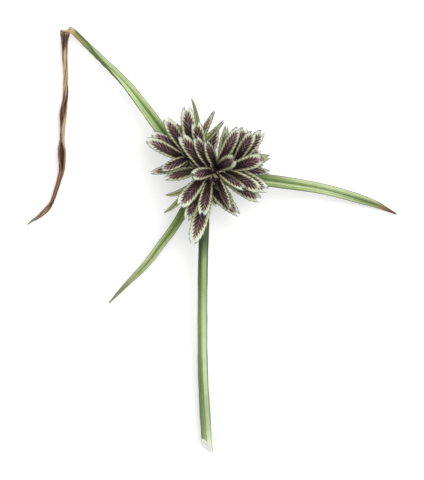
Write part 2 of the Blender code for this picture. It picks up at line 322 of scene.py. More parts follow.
def skin(name, bodies, material, replaced):
    """One object from closed bodies, each a (rings, values) pair: rings[k][i] is a point in millimetres."""
    points, faces, start = [], [], 0
    kept = {}
    for rings, values in bodies:
        count, around = rings.shape[:2]
        points.append(rings.reshape(-1, 3) * MM)
        k = np.arange(count - 1)[:, None] * around + start
        i = np.arange(around)[None, :]
        j = (i + 1) % around
        quads = np.stack([k + i, k + j, k + around + j, k + around + i], axis=-1)
        faces.extend(quads.reshape(-1, 4).tolist())
        faces.append((np.arange(around)[::-1] + start).tolist())
        faces.append((np.arange(around) + start + (count - 1) * around).tolist())
        for key, value in values.items():
            kept.setdefault(key, []).append(np.broadcast_to(value, (count, around)).reshape(-1))
        start += count * around
    data = bpy.data.meshes.new(name)
    data.from_pydata(np.concatenate(points).tolist(), [], faces)
    for key, value in kept.items():
        layer = data.attributes.new(key, "FLOAT", "POINT")
        layer.data.foreach_set("value", np.concatenate(value).astype(np.float32))
    mesh = bmesh.new()
    mesh.from_mesh(data)
    bmesh.ops.recalc_face_normals(mesh, faces=mesh.faces)
    mesh.to_mesh(data)
    mesh.free()
    data.shade_smooth()
    data.set_sharp_from_angle(angle=radians(SHARP_ABOVE))
    data.materials.append(material)
    made = bpy.data.objects.new(name, data)
    bpy.context.scene.collection.objects.link(made)
    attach(made, "root")
    if replaced:
        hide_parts(*replaced)
    return made


print("edges sharper than", SHARP_ABOVE, "degrees stay crisp")


# %% Smooth runs and steps
def smooth_run(rows, steps):
    """Points of one smooth curve through the given rows of numbers, steps to each span."""
    p = np.array(rows, float)
    ends = np.vstack([2 * p[0] - p[1], p, 2 * p[-1] - p[-2]])
    t = (np.arange(steps) / steps)[:, None]
    spans = []
    for a, b, c, d in zip(ends, ends[1:], ends[2:], ends[3:]):
        bend = (2 * a - 5 * b + 4 * c - d) * t**2 + (3 * b - a - 3 * c + d) * t**3
        spans.append(0.5 * (2 * b + (c - a) * t + bend))
    return np.vstack([*spans, p[-1:]])


def unit(vectors):
    return vectors / np.linalg.norm(vectors, axis=-1, keepdims=True)


def smooth_step(x, low, high):
    t = np.clip((x - low) / (high - low), 0.0, 1.0)
    return t * t * (3 - 2 * t)


print("a quarter of the way eases to", smooth_step(0.25, 0, 1))

# %% [markdown]
# ## The stem
#
# The stem of a sedge is three-sided and solid, with fine lengthwise lines, and was cut off on a slant that
# shows its white pith. A cylinder would look wrong at the corners and at the cut, so its rings are rounded
# triangles, and each lengthwise line simply ends where it meets the plane of the cut.

# %% Stem mesh
STEM_PATH = (
    (-1.05, -54.5, 1.32, 1.0),
    (-1.55, -48.0, 1.55, 1.02),
    (-2.0, -41.0, 2.1, 1.02),
    (-2.4, -32.0, 3.0, 0.98),
    (-2.5, -20.0, 4.4, 0.95),
    (-2.4, -8.0, 5.8, 0.96),
    (-2.1, 3.0, 7.0, 0.98),
    (-1.8, 14.3, 8.0, 0.9),
)
STEM_RADIUS = 1.3
STEM_CORNER = 0.1
STEM_TURN = 62
STEM_SIDES = 54
STEM_STEPS = 12
# The ribs round the stem and the swells along it: the beat, shift and size of each wave.
RIBS = ((9, 0.0, 0.012), (18, 1.0, 0.008))
SWELLS = ((0.55, 0.0, 0.018), (1.3, 2.0, 0.012))
CUT_DISH = 0.05
CUT_POINT = np.array((-1.1, -51.6, 1.4))
CUT_NORMAL = unit(np.array((-0.52, -0.62, 0.52)))
CUT_RINGS = (0.97, 0.93, 0.8, 0.55, 0.25, 0.04)


def stem_rings():
    """Rings from the top of the stem down to the cut, then inward over the cut's face."""
    run = smooth_run(STEM_PATH[::-1], STEM_STEPS)
    ahead = unit(np.gradient(run[:, :3], axis=0))
    side = unit(np.cross(ahead, (0.0, 0.0, 1.0)))
    up = np.cross(side, ahead)
    angle = 2 * pi * np.arange(STEM_SIDES) / STEM_SIDES
    corner = 1 + STEM_CORNER * np.cos(3 * (angle + radians(STEM_TURN)))
    ribs = 1 + sum(size * np.cos(beat * angle + shift) for beat, shift, size in RIBS)
    swell = 1 + sum(size * np.sin(beat * run[:, 1] + shift) for beat, shift, size in SWELLS)
    radius = STEM_RADIUS * (run[:, 3] * swell)[:, None] * (corner * ribs)[None, :]
    rings = run[:, None, :3] + radius[..., None] * (
        np.cos(angle)[None, :, None] * side[:, None] + np.sin(angle)[None, :, None] * up[:, None]
    )
    share = np.linspace(0, 1, len(run))
    lengths = share[:, None] * np.ones(STEM_SIDES)
    past = (rings - CUT_POINT) @ CUT_NORMAL
    for i in range(STEM_SIDES):
        first = np.argmax(past[:, i] > 0)
        part = past[first - 1, i] / (past[first - 1, i] - past[first, i])
        end = share[first - 1] + part * (share[first] - share[first - 1])
        wanted = share * end
        rings[:, i] = np.stack([np.interp(wanted, share, rings[:, i, c]) for c in range(3)], axis=1)
        lengths[:, i] = wanted
    rim = rings[-1]
    heart = rim.mean(axis=0)
    dish = [heart + scale * (rim - heart) - CUT_DISH * (1 - scale) * CUT_NORMAL for scale in CUT_RINGS]
    whole = np.concatenate([rings, np.array(dish)])
    around = np.broadcast_to(np.arange(STEM_SIDES) / STEM_SIDES, whole.shape[:2])
    pith = np.concatenate([np.zeros(len(rings)), 1 - np.array(CUT_RINGS)])[:, None]
    along = np.concatenate([lengths, np.ones((len(dish), STEM_SIDES))])
    ring_mid = np.concatenate([run[:, 0], np.full(len(dish), heart[0])])[:, None]
    left = np.clip((whole[..., 0] - ring_mid) / STEM_RADIUS, -1, 1)
    return whole, {"around": around, "pith": pith, "along": along, "left": left}


stem_skin, stem_values = stem_rings()
print("stem rings:", len(stem_skin))

# %% [markdown]
# ### Stem finish
#
# The stem is darker and bluer close under the head, partly its own colour and partly painted shade cast
# by the head, and paler towards the cut. Just right of the middle it has a pale band, a painted highlight
# laid softly into the colour as well as left to the lamp.

# %% Stem colours from the head to the cut
bench = new_material("fresh_stem")
# The stem's shaded green from the head to the cut: darkest close under the head, partly its own colour and
# partly painted shade cast by the head.
deep = bench.ramp(
    bench.stored("along"),
    [
        (0.0, paint(32, 46, 24)),
        (0.2, paint(38, 56, 24)),
        (0.26, paint(60, 84, 36)),
        (0.32, paint(82, 108, 50)),
        (0.42, paint(112, 136, 78)),
        (0.64, paint(98, 122, 66)),
        (0.74, paint(112, 134, 78)),
        (0.84, paint(126, 148, 90)),
        (0.94, paint(164, 180, 134)),
        (1.0, paint(204, 214, 182)),
    ],
)
# The stem's lit green, used where the highlight is painted.
light = bench.ramp(
    bench.stored("along"),
    [
        (0.0, paint(56, 74, 38)),
        (0.18, paint(70, 90, 46)),
        (0.22, paint(116, 136, 86)),
        (0.26, paint(162, 178, 122)),
        (0.32, paint(160, 178, 116)),
        (0.42, paint(190, 206, 160)),
        (0.52, paint(202, 218, 168)),
        (0.64, paint(190, 207, 156)),
        (0.74, paint(172, 188, 142)),
        (0.84, paint(186, 203, 152)),
        (0.94, paint(230, 238, 216)),
        (1.0, paint(244, 247, 238)),
    ],
)
print("stem nodes so far:", len(bench.tree.nodes))

# %% Stem finish
FINE_LINES, FINE_SHARE = 40.0, 0.16
BROAD_LINES, BROAD_SHARE = 13.0, 0.34
# Where across the stem the painted highlight lies.
HIGHLIGHT_BAND = (-0.3, 0.2, 0.6, 1.05)
CORNER_DARK = 0.7

across = bench.stored("left")
# A pale band just right of the middle: a painted highlight.
painted_highlight = bench.band(across, *HIGHLIGHT_BAND)
nerve = bench.group(NERVES, "Nerve", Across=bench.stored("around"), Count=FINE_LINES, Drift=1.2)
broad = bench.group(NERVES, "Nerve", Across=bench.stored("around"), Count=BROAD_LINES, Drift=0.8)
lines = bench.plus(bench.times(nerve, FINE_SHARE), bench.times(broad, BROAD_SHARE))
share = bench.plus(painted_highlight, bench.minus(lines, (FINE_SHARE + BROAD_SHARE) / 2), clamp=True)
body = bench.mix(share, deep, light)
corner = bench.times(bench.ease(bench.size_of(across), 0.82, 0.97), CORNER_DARK)
body = bench.mix(corner, body, paint(78, 98, 58))
body = bench.group(MOTTLE, "Colour", Colour=body, Size=700.0, Strength=0.18)
inner = bench.ramp(
    bench.stored("pith"),
    [
        (0.0, paint(120, 144, 84)),
        (0.05, paint(224, 230, 204)),
        (0.12, paint(250, 250, 246)),
        (1.0, paint(254, 254, 250)),
    ],
)
colour = bench.mix(bench.ease(bench.stored("pith"), 0.0, 0.02), body, inner)
STEM_FINISH = finished("fresh_stem", colour, nerve, bench, 0.42, 0.00004, 0.35)
stem = skin("stem_skin", [(stem_skin, stem_values)], STEM_FINISH, ["culm"])
print("stem faces:", len(stem.data.polygons))

# %% [markdown]
# ## Leaf blades
#
# A bract is a long leaf with a keel below and two halves that rise like a shallow V. Its section is walked
# from the keel out to each edge in short steps whose slope may change on the way, so the same few lines
# give a flat V, an edge that rolls over and a dry leaf curled into a tube.

# %% Section of a blade
SECTION = np.linspace(-1, 1, 25)
BLADE_SLOPE = 26
KEEL_ROUNDING = (-0.02, 0.16)
ROLL_EASE = 0.14


def section(roll_at, roll, curl):
    """Sideways, upward and slope of each point over a blade one unit wide each side, from edge to edge."""
    reach = np.abs(SECTION)
    slope = BLADE_SLOPE * smooth_step(reach, *KEEL_ROUNDING) + curl * reach
    slope = slope + np.where(SECTION > 0, roll * smooth_step(SECTION, roll_at, roll_at + ROLL_EASE), 0.0)
    slope = np.radians(slope)
    step = SECTION[1] - SECTION[0]
    middle = len(SECTION) // 2
    sideways = np.zeros(len(SECTION))
    upward = np.zeros(len(SECTION))
    for way in (1, -1):
        for k in range(1, middle + 1):
            here, before = middle + way * k, middle + way * (k - 1)
            lean = 0.5 * (slope[here] + slope[before])
            sideways[here] = sideways[before] + way * step * cos(lean)
            upward[here] = upward[before] + step * sin(lean)
    return sideways, upward, np.where(SECTION < 0, -slope, slope)


print("rise of a plain blade to its edge:", round(section(1, 0, 0)[1][0], 2), "of its half width")

# %% Rings along a blade
BLADE_THICK = 0.36
TIP_THICK, THICK_PER_WIDTH = 0.1, 0.4
EDGE_THINNING = 0.62
LEAST_WIDTH = 0.12
BELOW_MIDDLE = 0.45
PAST_EDGE = 1.2
NO_ROLL = (PAST_EDGE, 0, 0)


def blade_rings(stations, steps, hand=1, thick=BLADE_THICK, ruffle=0.0):
    """Rings along a blade. A station is the x, y and z of its middle, its width seen from above and its
    turn. It may go on with where one edge starts to roll, how far, and how much the blade curls."""
    run = smooth_run([(*station, *NO_ROLL)[:8] for station in stations], steps)
    ahead = unit(np.gradient(run[:, :3], axis=0))
    level = unit(np.cross(ahead, (0.0, 0.0, 1.0))) * hand
    rise = unit(np.cross(level, ahead)) * hand
    rings = []
    for k, (x, y, z, width, turn, roll_at, roll, curl) in enumerate(run):
        sideways, upward, slope = section(roll_at, roll, curl)
        c, s = cos(radians(turn)), sin(radians(turn))
        flat = c * sideways - s * upward
        tall = s * sideways + c * upward
        span = flat.max() - flat.min()
        scale = max(width, LEAST_WIDTH) / span
        body = min(thick, TIP_THICK + THICK_PER_WIDTH * width)
        body = body * (1 - EDGE_THINNING * np.abs(SECTION) ** 1.5)
        nx = -np.sin(slope) * c - np.cos(slope) * s
        nz = -np.sin(slope) * s + np.cos(slope) * c
        flat = (flat - 0.5 * (flat.max() + flat.min())) * scale
        tall = tall * scale
        if ruffle:
            wave = ruffle * np.sin(7 * SECTION + 0.9 * k) * np.sin(0.37 * k + 2 * SECTION)
            flat = flat + wave * nx
            tall = tall + wave * nz
        top = np.array((x, y, z)) + flat[:, None] * level[k] + tall[:, None] * rise[k]
        back = top - body[:, None] * (nx[:, None] * level[k] + nz[:, None] * rise[k])
        rings.append(np.vstack([top, back[::-1]]))
    rings = np.array(rings)
    if hand < 0 or ruffle:
        low = rings[..., 2].min(axis=1)
        floor = run[:, 2] - BELOW_MIDDLE * thick
        rings[..., 2] += np.maximum(floor - low, 0)[:, None]
    return rings


def blade_values(rings, tones):
    """What the leaf finish reads. A tone is a place along the leaf and how pale it is painted there, as
    light and shade, from 0 to 1, at the minus edge, on each side of the keel, and at the plus edge."""
    along = np.linspace(0, 1, len(rings))[:, None]
    across = np.concatenate([SECTION, SECTION[::-1]])[None, :]
    face = np.concatenate([np.zeros(len(SECTION)), np.ones(len(SECTION))])[None, :]
    at, *columns = np.array(tones, float).T
    minus_edge, minus_keel, plus_keel, plus_edge = (np.interp(along, at, column) for column in columns)
    outward = smooth_step(np.abs(across), 0.04, 0.9)
    minus = minus_keel + (minus_edge - minus_keel) * outward
    plus = plus_keel + (plus_edge - plus_keel) * outward
    lit = np.where(across < 0, minus, plus)
    return {"along": along, "across": across, "face": face, "lit": lit}


print("points in one ring of a blade:", 2 * len(SECTION))

# %% [markdown]
# ### Leaf finish
#
# Each leaf is mid green with a darker line at its keel, partly the midrib's own colour and partly painted
# shade in the groove, and fine dark edges. One half is painted paler and the other darker, as painted light
# and shade; how pale each half is along the leaf is stored on the mesh. The under face is a duller,
# deeper green, and dryness turns a tip yellow-brown. One function makes the finish of every green leaf.


# %% Leaf finish
LEAF_LINES = 0.26
LINES_LEVEL = 0.28
LINE_DARK = 0.85


def leaf_colour(bench, deep, middle, pale, groove):
    """The green of a leaf's two faces with its nerves, keel and edges, and the height of its nerves."""
    across = bench.stored("across")
    off_keel = bench.size_of(across)
    broad = bench.group(NERVES, "Nerve", Across=across, Count=2.6, Drift=0.9)
    nerve = bench.group(NERVES, "Nerve", Across=across, Count=9.0, Drift=0.5)
    lines = bench.plus(bench.times(broad, LEAF_LINES), bench.times(nerve, LEAF_LINES))
    lit = bench.plus(bench.stored("lit"), bench.minus(lines, LINES_LEVEL), clamp=True)
    # Painted light and shade: the stored lit tone picks a shaded, middle or lit green.
    green = bench.ramp(lit, [(0.0, deep), (0.5, middle), (1.0, pale)])
    # The dark keel line: partly the midrib's own colour, partly painted shade in the groove.
    beside = bench.size_of(bench.plus(across, 0.35 * groove))
    keel = bench.times(bench.ease(beside, groove, 0.3 * groove), LINE_DARK)
    green = bench.mix(keel, green, deep)
    under = bench.mix(lines, paint(76, 96, 54), paint(120, 138, 84))
    green = bench.mix(bench.stored("face"), green, under)
    edge = bench.times(bench.ease(off_keel, 0.88, 0.97), LINE_DARK)
    return bench.mix(edge, green, paint(74, 88, 58)), nerve, lines


def leaf_material(name, greens, groove, dry_from, dry, tip):
    bench = new_material(name)
    green, nerve, lines = leaf_colour(bench, *greens, groove)
    along = bench.stored("along")
    old = bench.ramp(along, [(dry_from, dry), (min(dry_from + 0.1, 0.99), tip)])
    old = bench.mix(bench.times(lines, 0.6), old, tip)
    late = bench.minus(along, bench.times(lines, 0.08))
    green = bench.mix(bench.ease(late, dry_from - 0.06, dry_from + 0.03), green, old)
    colour = bench.group(MOTTLE, "Colour", Colour=green, Size=900.0, Strength=0.18)
    return finished(name, colour, nerve, bench, 0.48, 0.00004, 0.3)


print("nerves change a leaf's tone by up to", 2 * LEAF_LINES)

# %% [markdown]
# ### Two long green bracts and three small ones
#
# The long bract at the right rises from the head and comes down to rest on its brown tip. The one at the
# lower left droops in the same way. Their stations are the solid's own points, with more rings between
# them.

# %% Stations of the two long bracts
BRACT_RIGHT = (
    (-0.3, 13.0, 7.4, 1.1, 0),
    (3.4, 14.8, 7.1, 2.5, 0),
    (8.5, 15.3, 6.8, 3.1, 6),
    (14.0, 14.85, 6.2, 3.0, 8),
    (18.5, 14.25, 5.3, 2.95, 8),
    (23.0, 13.6, 4.4, 2.75, 8),
    (27.5, 12.8, 3.4, 2.55, 6),
    (32.0, 11.7, 2.5, 2.4, 6),
    (36.5, 10.4, 1.7, 2.2, 4),
    (41.0, 8.9, 0.9, 1.6, 2),
    (44.0, 7.5, 0.55, 0.8, 0),
    (46.1, 6.5, 0.33, 0.3, 0),
)
BRACT_LOWER_LEFT = (
    (-3.8, 12.8, 7.2, 1.0, 0),
    (-5.1, 10.3, 7.0, 2.0, 0),
    (-6.8, 7.6, 6.4, 2.2, 0),
    (-8.3, 5.0, 5.7, 2.1, 0),
    (-10.3, 2.0, 4.8, 2.05, 0),
    (-12.6, -1.0, 3.9, 1.95, 0),
    (-14.8, -4.0, 3.0, 1.85, 0),
    (-17.3, -7.0, 2.1, 1.65, 0),
    (-20.3, -10.0, 1.3, 1.3, 0),
    (-23.2, -13.0, 0.6, 0.8, 0),
    (-25.7, -15.7, 0.33, 0.3, 0),
)
print("stations of the long bracts:", len(BRACT_RIGHT), "and", len(BRACT_LOWER_LEFT))

# %% Stations of the three small bracts
BRACT_SMALL = (
    (-2.1, 15.3, 6.7, 0.7, 0),
    (-2.6, 21.0, 5.0, 1.3, 0),
    (-3.5, 28.5, 5.2, 1.2, 10),
    (-4.3, 32.6, 6.0, 0.8, 20),
    (-5.1, 35.2, 6.4, 0.25, 20),
)
BRACTLET_UPPER = (
    (-3.9, 14.6, 8.6, 0.6, 0),
    (-7.2, 12.3, 8.4, 1.4, 0),
    (-9.8, 11.4, 8.0, 0.95, 0),
    (-11.5, 11.2, 7.8, 0.25, 0),
)
BRACTLET_LOWER = (
    (-3.7, 14.2, 6.7, 0.6, 0),
    (-7.0, 10.9, 6.3, 1.4, 0),
    (-9.9, 8.2, 5.7, 1.05, 0),
    (-11.9, 6.8, 5.3, 0.25, 0),
)
print("stations of a bractlet:", len(BRACTLET_UPPER))

# %% How pale each half of a green bract is painted, as light and shade
RIGHT_TONES = (
    (0.0, 0.3, 0.1, 0.75, 0.35),
    (0.3, 0.5, 0.15, 0.75, 0.35),
    (0.42, 0.95, 0.3, 0.8, 0.45),
    (0.58, 1.0, 0.6, 0.75, 0.8),
    (0.7, 1.0, 0.5, 0.35, 0.75),
    (0.8, 0.95, 0.4, 0.05, 0.55),
    (1.0, 0.5, 0.4, 0.3, 0.4),
)
LOWER_LEFT_TONES = (
    (0.0, 0.1, 0.2, 0.2, 0.05),
    (0.15, 0.1, 0.35, 0.2, 0.15),
    (0.3, 0.45, 0.3, 0.35, 0.55),
    (0.5, 0.9, 0.6, 0.45, 0.95),
    (0.65, 0.9, 0.7, 0.6, 1.0),
    (0.8, 0.5, 0.7, 0.7, 0.6),
    (1.0, 0.3, 0.5, 0.5, 0.3),
)
SMALL_TONES = ((0.0, 0.3, 0.2, 0.2, 0.4), (0.5, 0.9, 0.3, 0.5, 1.0), (1.0, 0.9, 0.8, 0.8, 0.9))
BRACTLET_TONES = ((0.0, 0.5, 0.0, 0.2, 0.5), (0.4, 1.0, 0.5, 0.4, 1.0), (1.0, 1.0, 1.0, 1.0, 1.0))
print("tones along the right bract:", len(RIGHT_TONES))

# %% Four leaf finishes
TAN = paint(168, 146, 100)
TIP_BROWN = paint(122, 102, 74)
STRAW = paint(190, 197, 148)
TIP_OLIVE = paint(154, 162, 120)
RIGHT_GREENS = (paint(84, 108, 58), paint(150, 170, 108), paint(220, 234, 186))
LEFT_GREENS = (paint(66, 90, 36), paint(138, 156, 84), paint(220, 228, 172))
SMALL_GREENS = (paint(110, 130, 82), paint(162, 178, 124), paint(208, 216, 172))
BRACTLET_GREENS = (paint(104, 92, 52), paint(182, 188, 124), paint(214, 220, 168))
RIGHT_LEAF = leaf_material("right_leaf", RIGHT_GREENS, 0.12, 0.83, TAN, TIP_BROWN)
LEFT_LEAF = leaf_material("left_leaf", LEFT_GREENS, 0.1, 0.76, STRAW, TIP_OLIVE)
SMALL_LEAF = leaf_material("small_leaf", SMALL_GREENS, 0.15, 0.97, TAN, TIP_BROWN)
BRACTLET_LEAF = leaf_material("bractlet_leaf", BRACTLET_GREENS, 0.25, 0.93, TAN, TIP_BROWN)

# %% Green bracts
GREEN_STEPS = 8
GREEN_BRACTS = {
    "bract_right": (BRACT_RIGHT, RIGHT_LEAF, RIGHT_TONES),
    "bract_lower_left": (BRACT_LOWER_LEFT, LEFT_LEAF, LOWER_LEFT_TONES),
    "bract_small": (BRACT_SMALL, SMALL_LEAF, SMALL_TONES),
    "bractlet_upper": (BRACTLET_UPPER, BRACTLET_LEAF, BRACTLET_TONES),
    "bractlet_lower": (BRACTLET_LOWER, BRACTLET_LEAF, BRACTLET_TONES),
}
for node, (stations, material, tones) in GREEN_BRACTS.items():
    rings = blade_rings(stations, GREEN_STEPS)
    skin(f"{node}_skin", [(rings, blade_values(rings, tones))], material, [node])
print("green bracts:", list(GREEN_BRACTS))

# %% [markdown]
# ### The folded bract
#
# The third long bract is one leaf in two states. Its lower limb is green; towards the top its left edge
# rolls over until the leaf is closed and shows its darker under face. There it is creased flat, like a
# ribbon folded down, and beyond the crease it is dead: brown, twisted and half rolled into a tube. The
# crease line halves the angle between the two limbs, as in any flat ribbon, which gives the torn wide top
# its slope.

# %% Stations of the two limbs
GREEN_LIMB = (
    (-3.3, 15.1, 7.2, 1.1, 0),
    (-5.9, 19.2, 6.2, 2.0, 0),
    (-8.8, 22.8, 6.0, 2.6, 0, 1.2, 20, 0),
    (-12.2, 26.8, 5.6, 2.85, 0, 1.0, 60, 0),
    (-16.3, 32.4, 5.0, 2.65, 0, 0.88, 130, 0),
    (-21.4, 39.0, 4.2, 2.05, 0, 0.8, 140, 0),
    (-27.3, 45.0, 3.0, 1.5, 0, 0.38, 132, 0),
    (-31.4, 49.0, 2.2, 1.25, 0, 0.0, 124, 0),
    (-34.4, 52.1, 1.6, 1.15, 0, 0.0, 122, 0),
)
# The last number of a withered row is its curl.
WITHERED_LIMB = (
    (-36.75, 51.6, 0.55, 2.3, 180, 20),
    (-36.8, 50.0, 0.5, 1.65, 184, 60),
    (-36.8, 48.7, 0.5, 1.15, 190, 110),
    (-36.7, 45.0, 0.5, 0.9, 200, 130),
    (-36.5, 41.7, 0.5, 0.8, 240, 130),
    (-36.5, 39.5, 0.5, 0.8, 270, 120),
    (-36.55, 36.4, 0.5, 1.0, 320, 120),
    (-36.75, 34.4, 0.5, 1.05, 345, 120),
    (-37.15, 31.8, 0.5, 1.5, 370, 100),
    (-37.35, 28.5, 0.5, 1.0, 385, 130),
    (-37.45, 25.5, 0.5, 0.75, 375, 140),
    (-37.55, 23.8, 0.5, 1.2, 362, 120),
    (-37.5, 21.8, 0.5, 1.65, 360, 105),
    (-37.45, 18.5, 0.5, 1.3, 355, 120),
    (-37.65, 16.9, 0.5, 1.0, 345, 130),
    (-38.6, 13.5, 0.5, 0.75, 335, 130),
    (-39.65, 10.4, 0.5, 0.6, 340, 130),
    (-40.3, 8.9, 0.5, 0.7, 350, 110),
    (-41.6, 7.35, 0.5, 1.05, 365, 60),
    (-43.2, 5.9, 0.45, 0.7, 360, 60),
    (-44.75, 4.9, 0.4, 0.35, 360, 60),
    (-46.1, 3.9, 0.36, 0.12, 360, 60),
)
print("stations of the limbs:", len(GREEN_LIMB), "and", len(WITHERED_LIMB))

# %% Crease and rings of the folded bract
CREASE_MIDDLE = (-36.6, 52.8, 1.0)
CREASE_ANGLE = 200.7
CREASE_WIDTH = 3.0
CREASE_RAGGED = 0.1
CREASE_SAG = 0.45
CREASE_THICK = 0.2
RINGS_TO_CREASE = 4
RINGS_FROM_CREASE = 3
DRY_STEPS = 6
DRY_THICK = 0.26
DRY_RUFFLE = 0.05


def crease_ring():
    """The leaf laid flat across the crease, its inner face turned outward and away from the fold."""
    line = np.array((cos(radians(CREASE_ANGLE)), sin(radians(CREASE_ANGLE)), 0.0))
    out = np.array((line[1], -line[0], 0.0))
    ragged = CREASE_RAGGED * (np.sin(9 * SECTION + 1) + 0.6 * np.sin(17 * SECTION))
    ragged = ragged - CREASE_SAG * np.cos(0.5 * pi * SECTION) ** 2
    top = np.array(CREASE_MIDDLE) + 0.5 * CREASE_WIDTH * SECTION[:, None] * line + ragged[:, None] * out
    back = top - CREASE_THICK * out
    return np.vstack([top, back[::-1]])


def between(first, last, count):
    """Rings part of the way from one ring to another, both left out."""
    shares = np.arange(1, count + 1) / (count + 1)
    return [first + smooth_step(share, 0, 1) * (last - first) for share in shares]


green = blade_rings(GREEN_LIMB, GREEN_STEPS, hand=-1)
dry_stations = [(*station, PAST_EDGE, 0, curl) for *station, curl in WITHERED_LIMB]
brown = blade_rings(dry_stations, DRY_STEPS, hand=-1, thick=DRY_THICK, ruffle=DRY_RUFFLE)
crease = crease_ring()
to_crease = between(green[-1], crease, RINGS_TO_CREASE)
from_crease = between(crease, brown[0], RINGS_FROM_CREASE)
folded = np.concatenate([green, to_crease, [crease], from_crease, brown])
WITHERED_FROM = len(green) / len(folded)
CREASE_AT = (len(green) + RINGS_TO_CREASE) / len(folded)
print("withered from", round(WITHERED_FROM, 3), "of the leaf's rings")

# %% [markdown]
# ### Withered finish
#
# Up to the crease the leaf has the same green finish, with a golden stretch at its end where the green
# fades. Beyond the crease dry tan and dark brown run in lengthwise streaks. Just past the crease, under the
# fold, the leaf is darkest, as painted shade; one side of its twisted stretch is painted paler, a painted
# highlight as if that side were lit; further out it is redder and at its tip grey.

# %% Withered finish: green, golden and dry
FOLDED_GREENS = (paint(84, 114, 58), paint(138, 162, 94), paint(212, 224, 172))

bench = new_material("folded_leaf")
green_leaf, nerve, lines = leaf_colour(bench, *FOLDED_GREENS, 0.12)
across = bench.stored("across")
along = bench.stored("along")
olive = bench.mix(lines, paint(126, 136, 84), paint(166, 172, 112))
olive = bench.mix(bench.ease(across, 0.72, 0.95), olive, paint(88, 100, 60))
fading = bench.ease(along, WITHERED_FROM - 0.07, WITHERED_FROM - 0.04)
leaf = bench.mix(fading, green_leaf, olive)
gold = bench.mix(lines, paint(156, 132, 78), paint(206, 182, 128))
turning = bench.ease(along, WITHERED_FROM - 0.05, WITHERED_FROM)
turning = bench.times(turning, bench.ease(across, 0.9, 0.3))
leaf = bench.mix(turning, leaf, gold)
cream = bench.mix(lines, paint(196, 166, 120), paint(232, 212, 176))
bleached = bench.ease(along, WITHERED_FROM - 0.012, WITHERED_FROM + 0.002)
leaf = bench.mix(bleached, leaf, cream)
print("dry from", round(CREASE_AT, 3), "of the leaf's rings")

# %% Withered finish: streaks of the dry limb
TWISTED = (0.53, 0.56, 0.77, 0.82)
# How much paler one side of the twisted stretch is painted, as a painted highlight, and how much painted
# shade lies just past the crease, under the fold.
LIT_SIDE_PAINT = 0.22
FOLD_SHADE = 0.26
LOW_END = (0.6, 0.78, 0.86, 0.91)
LOW_END_RED = 0.4
TIP_GREY = 0.8
STREAKS_ACROSS, STREAKS_ALONG = 2.4, 9.0
STREAK_SCALE, STREAK_DETAIL = 1.7, 5.0

streak_place = bench.put("ShaderNodeCombineXYZ")
bench.feed(streak_place.inputs["X"], bench.times(across, STREAKS_ACROSS))
bench.feed(streak_place.inputs["Y"], bench.times(along, STREAKS_ALONG))
bench.feed(streak_place.inputs["Z"], bench.stored("face"))
streaks = bench.noise(streak_place.outputs["Vector"], STREAK_SCALE, STREAK_DETAIL)
# Painted shade just past the crease, under the fold.
shade_under_fold = bench.band(along, CREASE_AT + 0.015, CREASE_AT + 0.035, 0.415, 0.45)
# One side of the twisted stretch is painted paler, a painted highlight as if that side were lit.
painted_lit_side = bench.times(bench.band(along, *TWISTED), bench.times(across, LIT_SIDE_PAINT))
tone = bench.plus(streaks, bench.minus(lines, 0.16))
tone = bench.plus(bench.minus(tone, bench.times(shade_under_fold, FOLD_SHADE)), painted_lit_side)
dry = bench.ramp(
    tone,
    [
        (0.26, paint(52, 32, 18)),
        (0.43, paint(98, 70, 46)),
        (0.56, paint(146, 114, 84)),
        (0.7, paint(196, 165, 130)),
    ],
)
rim = bench.times(bench.ease(bench.size_of(across), 0.84, 0.97), LINE_DARK)
dry = bench.mix(rim, dry, paint(88, 58, 38))
low_end = bench.band(along, *LOW_END)
dry = bench.mix(bench.times(low_end, LOW_END_RED), dry, paint(116, 70, 44))
dry = bench.mix(bench.times(bench.ease(along, 0.93, 0.97), TIP_GREY), dry, paint(150, 152, 134))
leaf = bench.mix(bench.ease(along, CREASE_AT - 0.009, CREASE_AT - 0.002), leaf, dry)
colour = bench.group(MOTTLE, "Colour", Colour=leaf, Size=900.0, Strength=0.2)
FOLDED_FINISH = finished("folded_leaf", colour, tone, bench, 0.55, 0.00006, 0.25)

# %% Folded bract in place
# How pale each half of the folded bract is painted, as light and shade.
FOLDED_TONES = (
    (0.0, 0.3, 0.1, 0.5, 0.5),
    (0.06, 0.4, 0.1, 0.8, 1.0),
    (0.12, 0.65, 0.05, 0.6, 0.75),
    (0.16, 1.0, 0.25, 0.6, 0.75),
    (0.2, 1.0, 0.8, 0.9, 1.0),
    (0.26, 1.0, 1.0, 0.9, 0.9),
    (1.0, 0.5, 0.5, 0.5, 0.5),
)
folded_values = blade_values(folded, FOLDED_TONES)
skin("bract_folded_skin", [(folded, folded_values)], FOLDED_FINISH, ["bract_folded"])
print("folded bract rings:", len(folded))

# %% [markdown]
# ## Spikelets
#
# A spikelet is a flat spray of folded scales in two ranks, left and right of a hidden axis. Each scale is a
# little boat: its keel makes the toothed edge of the spikelet, and its two thin sides reach in over both
# faces, so their free margins draw the V-shaped lines down the middle. Modelling each scale, rather than
# painting them, gives the steps and teeth that show from every side. The place and size of a spikelet are
# read from its solid.

# %% Read a spikelet's frame from its solid
HEART = np.array((0.3, 17.0, 11.0))
STALK_CORNERS = 4
WIDTH_AT = (0.0, 0.08, 0.2, 0.4, 0.62, 0.8, 0.92, 1.0)
BLUNT = (0.4, 0.56, 0.78, 0.97, 1.03, 0.92, 0.62, 0.1)
POINTED = (0.4, 0.58, 0.84, 1.02, 0.93, 0.64, 0.36, 0.06)
DEPTH_AT = (0.0, 0.12, 0.3, 0.65, 0.88, 1.0)
DEPTH = (0.45, 0.7, 1.0, 0.9, 0.6, 0.3)


